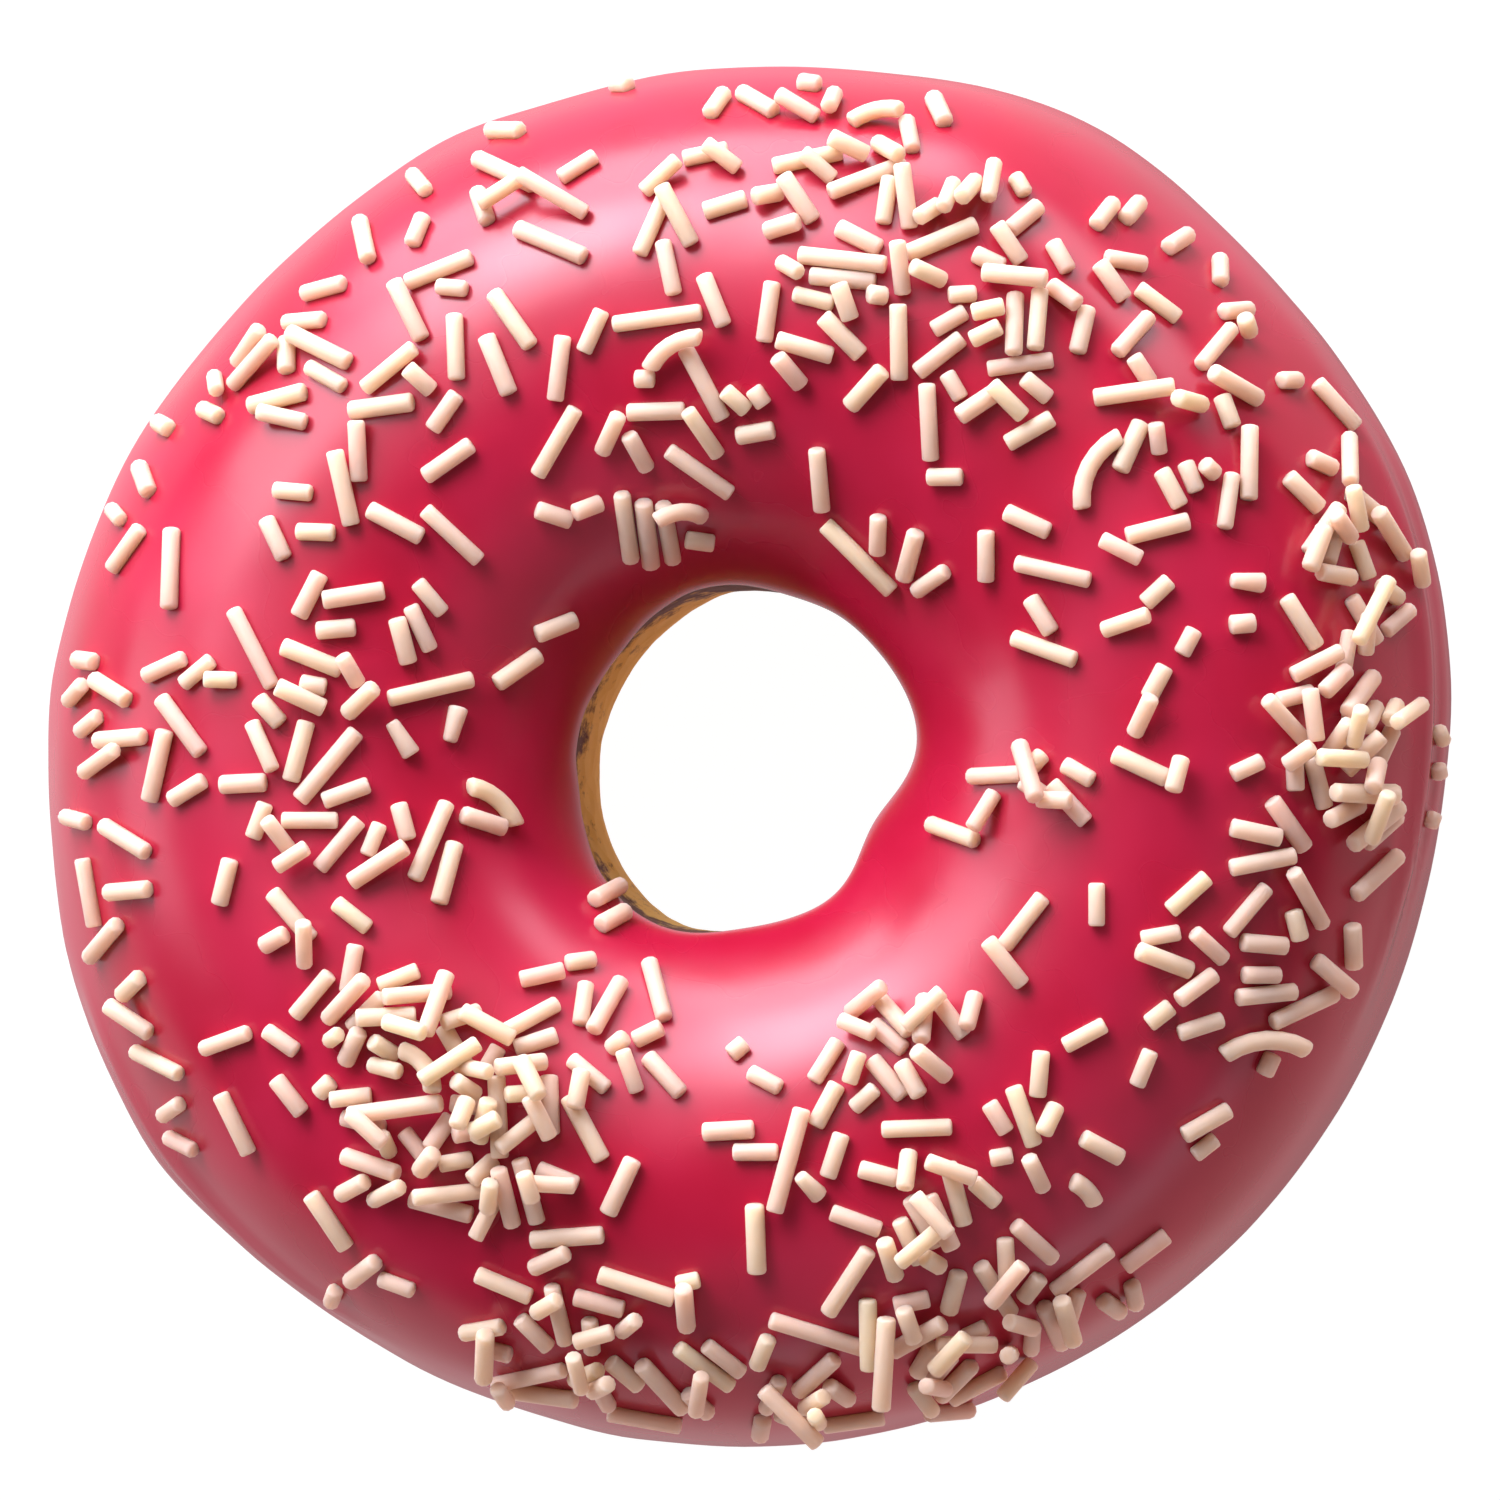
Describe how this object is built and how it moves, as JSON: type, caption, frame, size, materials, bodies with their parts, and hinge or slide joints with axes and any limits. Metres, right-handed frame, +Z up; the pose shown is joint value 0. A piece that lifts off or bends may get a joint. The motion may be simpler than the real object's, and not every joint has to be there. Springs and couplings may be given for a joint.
{
  "type": "sprinkle frosted doughnut",
  "caption": "Round raised ring doughnut with a flat underside, an open hole and a glossy pink frosting shell over its top and sides, strewn with cream sugar strands.",
  "frame": {"origin": "middle of the box round the doughnut, on the surface that it lies on", "axes": "+Z up along the axis of the hole, frosted side up; +X towards the frosted edge that the hole lies nearest to"},
  "size_m": [0.0878, 0.0856, 0.0321],
  "materials": {
    "dough": "soft fried crust, golden brown with a paler band round the waist",
    "frosting": "glossy set sugar frosting, raspberry pink",
    "sprinkles": "smooth cream-coloured sugar strands"
  },
  "bodies": {
    "root": {"dough_ring": "dough", "frosting": "frosting"}
  },
  "joints": []
}
